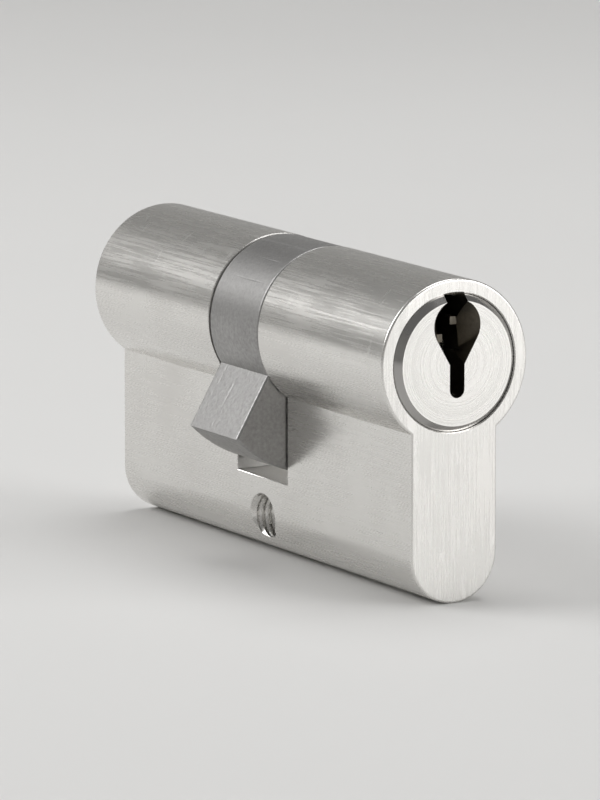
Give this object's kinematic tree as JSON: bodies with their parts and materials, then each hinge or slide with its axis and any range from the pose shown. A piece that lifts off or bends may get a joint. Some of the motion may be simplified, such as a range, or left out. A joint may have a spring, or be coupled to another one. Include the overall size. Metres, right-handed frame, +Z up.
{
  "type": "euro profile lock cylinder",
  "caption": "Double euro-profile lock cylinder: keyed barrels, sprung pin stacks, clutch and cam in a round-headed housing for a mortice lock.",
  "frame": {"origin": "middle of the fixing-screw hole, halfway along the cylinder", "axes": "+Y along the barrels, from the outer face to the inner face; +Z up, from the stem to the head; +X to the right of someone who looks at the outer face"},
  "size_m": [0.0193, 0.061, 0.033],
  "materials": {
    "satin_nickel": "satin",
    "pin_brass": "satin",
    "pin_steel": "satin",
    "spring_steel": "satin",
    "sintered_steel": "satin"
  },
  "bodies": {
    "housing": {"housing": "satin_nickel", "outer_chamber_plug_1": "satin_nickel", "outer_chamber_plug_2": "satin_nickel", "outer_chamber_plug_3": "satin_nickel", "outer_chamber_plug_4": "satin_nickel", "outer_chamber_plug_5": "satin_nickel", "inner_chamber_plug_1": "satin_nickel", "inner_chamber_plug_2": "satin_nickel", "inner_chamber_plug_3": "satin_nickel", "inner_chamber_plug_4": "satin_nickel", "inner_chamber_plug_5": "satin_nickel", "outer_pin_spring_1": "spring_steel", "outer_pin_spring_2": "spring_steel", "outer_pin_spring_3": "spring_steel", "outer_pin_spring_4": "spring_steel", "outer_pin_spring_5": "spring_steel", "inner_pin_spring_1": "spring_steel", "inner_pin_spring_2": "spring_steel", "inner_pin_spring_3": "spring_steel", "inner_pin_spring_4": "spring_steel", "inner_pin_spring_5": "spring_steel"},
    "outer_barrel": {"outer_barrel": "satin_nickel", "outer_retaining_clip": "spring_steel"},
    "inner_barrel": {"inner_barrel": "satin_nickel", "inner_retaining_clip": "spring_steel"},
    "cam": {"cam": "sintered_steel"},
    "outer_clutch": {"outer_clutch_half": "pin_steel", "clutch_spring": "spring_steel"},
    "inner_clutch": {"inner_clutch_half": "pin_steel"},
    "outer_key_pin_1": {"outer_key_pin_1": "pin_brass"},
    "outer_driver_pin_1": {"outer_driver_pin_1": "pin_steel"},
    "outer_key_pin_2": {"outer_key_pin_2": "pin_brass"},
    "outer_driver_pin_2": {"outer_driver_pin_2": "pin_steel"},
    "outer_key_pin_3": {"outer_key_pin_3": "pin_brass"},
    "outer_driver_pin_3": {"outer_driver_pin_3": "pin_steel"},
    "outer_key_pin_4": {"outer_key_pin_4": "pin_brass"},
    "outer_driver_pin_4": {"outer_driver_pin_4": "pin_steel"},
    "outer_key_pin_5": {"outer_key_pin_5": "pin_brass"},
    "outer_driver_pin_5": {"outer_driver_pin_5": "pin_steel"},
    "inner_key_pin_1": {"inner_key_pin_1": "pin_brass"},
    "inner_driver_pin_1": {"inner_driver_pin_1": "pin_steel"},
    "inner_key_pin_2": {"inner_key_pin_2": "pin_brass"},
    "inner_driver_pin_2": {"inner_driver_pin_2": "pin_steel"},
    "inner_key_pin_3": {"inner_key_pin_3": "pin_brass"},
    "inner_driver_pin_3": {"inner_driver_pin_3": "pin_steel"},
    "inner_key_pin_4": {"inner_key_pin_4": "pin_brass"},
    "inner_driver_pin_4": {"inner_driver_pin_4": "pin_steel"},
    "inner_key_pin_5": {"inner_key_pin_5": "pin_brass"},
    "inner_driver_pin_5": {"inner_driver_pin_5": "pin_steel"}
  },
  "joints": [
    {"name": "barrel_turn_outer", "type": "hinge", "parent": "housing", "child": "outer_barrel", "pos_m": [0, 0, 0.0203], "axis": [0, 1, 0], "continuous": true},
    {"name": "barrel_turn_inner", "type": "hinge", "parent": "housing", "child": "inner_barrel", "pos_m": [0, 0, 0.0203], "axis": [0, 1, 0], "continuous": true},
    {"name": "cam_turn", "type": "hinge", "parent": "housing", "child": "cam", "pos_m": [0, 0, 0.0203], "axis": [0, 1, 0], "continuous": true},
    {"name": "clutch_slide_outer", "type": "slide", "parent": "outer_barrel", "child": "outer_clutch", "axis": [0, 1, 0], "range_m": [-0.0023, 0]},
    {"name": "clutch_slide_inner", "type": "slide", "parent": "inner_barrel", "child": "inner_clutch", "axis": [0, 1, 0], "range_m": [-0.0023, 0]},
    {"name": "driver_slide_outer_1", "type": "slide", "parent": "housing", "child": "outer_driver_pin_1", "axis": [0, 0, 1], "range_m": [-0.0025, 0], "stiffness_N_per_m": 120, "deforming": ["outer_pin_spring_1"]},
    {"name": "driver_slide_outer_2", "type": "slide", "parent": "housing", "child": "outer_driver_pin_2", "axis": [0, 0, 1], "range_m": [-0.0025, 0], "stiffness_N_per_m": 120, "deforming": ["outer_pin_spring_2"]},
    {"name": "driver_slide_outer_3", "type": "slide", "parent": "housing", "child": "outer_driver_pin_3", "axis": [0, 0, 1], "range_m": [-0.0025, 0], "stiffness_N_per_m": 120, "deforming": ["outer_pin_spring_3"]},
    {"name": "driver_slide_outer_4", "type": "slide", "parent": "housing", "child": "outer_driver_pin_4", "axis": [0, 0, 1], "range_m": [-0.0025, 0], "stiffness_N_per_m": 120, "deforming": ["outer_pin_spring_4"]},
    {"name": "driver_slide_outer_5", "type": "slide", "parent": "housing", "child": "outer_driver_pin_5", "axis": [0, 0, 1], "range_m": [-0.0025, 0], "stiffness_N_per_m": 120, "deforming": ["outer_pin_spring_5"]},
    {"name": "driver_slide_inner_1", "type": "slide", "parent": "housing", "child": "inner_driver_pin_1", "axis": [0, 0, 1], "range_m": [-0.0025, 0], "stiffness_N_per_m": 120, "deforming": ["inner_pin_spring_1"]},
    {"name": "driver_slide_inner_2", "type": "slide", "parent": "housing", "child": "inner_driver_pin_2", "axis": [0, 0, 1], "range_m": [-0.0025, 0], "stiffness_N_per_m": 120, "deforming": ["inner_pin_spring_2"]},
    {"name": "driver_slide_inner_3", "type": "slide", "parent": "housing", "child": "inner_driver_pin_3", "axis": [0, 0, 1], "range_m": [-0.0025, 0], "stiffness_N_per_m": 120, "deforming": ["inner_pin_spring_3"]},
    {"name": "driver_slide_inner_4", "type": "slide", "parent": "housing", "child": "inner_driver_pin_4", "axis": [0, 0, 1], "range_m": [-0.0025, 0], "stiffness_N_per_m": 120, "deforming": ["inner_pin_spring_4"]},
    {"name": "driver_slide_inner_5", "type": "slide", "parent": "housing", "child": "inner_driver_pin_5", "axis": [0, 0, 1], "range_m": [-0.0025, 0], "stiffness_N_per_m": 120, "deforming": ["inner_pin_spring_5"]},
    {"name": "key_pin_slide_outer_1", "type": "slide", "parent": "outer_barrel", "child": "outer_key_pin_1", "axis": [0, 0, 1], "range_m": [0, 0.004]},
    {"name": "key_pin_slide_outer_2", "type": "slide", "parent": "outer_barrel", "child": "outer_key_pin_2", "axis": [0, 0, 1], "range_m": [0, 0.0028]},
    {"name": "key_pin_slide_outer_3", "type": "slide", "parent": "outer_barrel", "child": "outer_key_pin_3", "axis": [0, 0, 1], "range_m": [0, 0.0036]},
    {"name": "key_pin_slide_outer_4", "type": "slide", "parent": "outer_barrel", "child": "outer_key_pin_4", "axis": [0, 0, 1], "range_m": [0, 0.0024]},
    {"name": "key_pin_slide_outer_5", "type": "slide", "parent": "outer_barrel", "child": "outer_key_pin_5", "axis": [0, 0, 1], "range_m": [0, 0.0032]},
    {"name": "key_pin_slide_inner_1", "type": "slide", "parent": "inner_barrel", "child": "inner_key_pin_1", "axis": [0, 0, 1], "range_m": [0, 0.004]},
    {"name": "key_pin_slide_inner_2", "type": "slide", "parent": "inner_barrel", "child": "inner_key_pin_2", "axis": [0, 0, 1], "range_m": [0, 0.0028]},
    {"name": "key_pin_slide_inner_3", "type": "slide", "parent": "inner_barrel", "child": "inner_key_pin_3", "axis": [0, 0, 1], "range_m": [0, 0.0036]},
    {"name": "key_pin_slide_inner_4", "type": "slide", "parent": "inner_barrel", "child": "inner_key_pin_4", "axis": [0, 0, 1], "range_m": [0, 0.0024]},
    {"name": "key_pin_slide_inner_5", "type": "slide", "parent": "inner_barrel", "child": "inner_key_pin_5", "axis": [0, 0, 1], "range_m": [0, 0.0032]}
  ],
  "couplings": [
    {"joint": "cam_turn", "follows": "barrel_turn_outer", "ratio": 1},
    {"joint": "clutch_slide_inner", "follows": "clutch_slide_outer", "ratio": 1}
  ]
}
